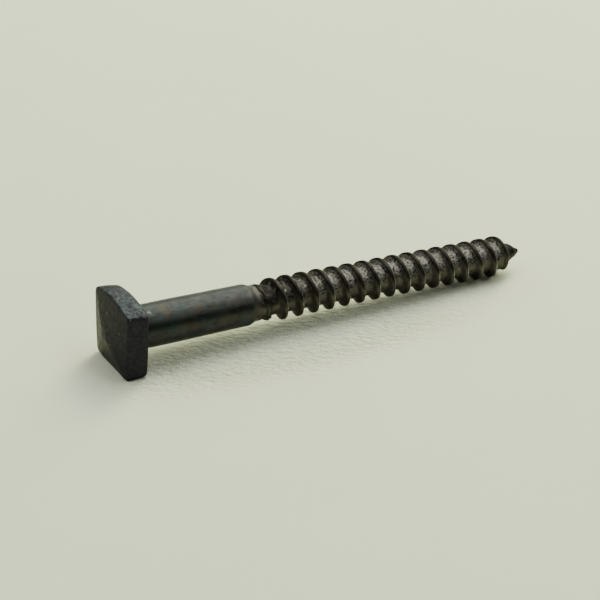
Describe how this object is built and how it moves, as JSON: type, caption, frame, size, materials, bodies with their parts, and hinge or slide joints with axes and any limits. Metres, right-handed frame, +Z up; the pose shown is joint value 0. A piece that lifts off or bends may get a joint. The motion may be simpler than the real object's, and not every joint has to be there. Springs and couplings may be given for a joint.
{
  "type": "square-head coach screw",
  "caption": "Square-head coach screw (lag screw) with a low pyramid crown, plain shank, reduced neck, right-hand wood thread and blunt gimlet point, in black-oxide steel.",
  "frame": {"origin": "centre of the bearing face, the flat ring under the head", "axes": "+X along the screw from the head to the point, +Z up with the screw lying down and two flats of the head level"},
  "size_m": [0.0696, 0.0106, 0.0106],
  "materials": {
    "head_black_oxide": "matte",
    "shank_black_oxide": "satin",
    "thread_burnished": "satin"
  },
  "bodies": {
    "root": {"head_crown": "head_black_oxide", "head_square": "head_black_oxide", "shank": "shank_black_oxide", "neck": "shank_black_oxide", "thread_runout": "thread_burnished", "thread": "thread_burnished", "gimlet_point": "thread_burnished"}
  },
  "joints": []
}
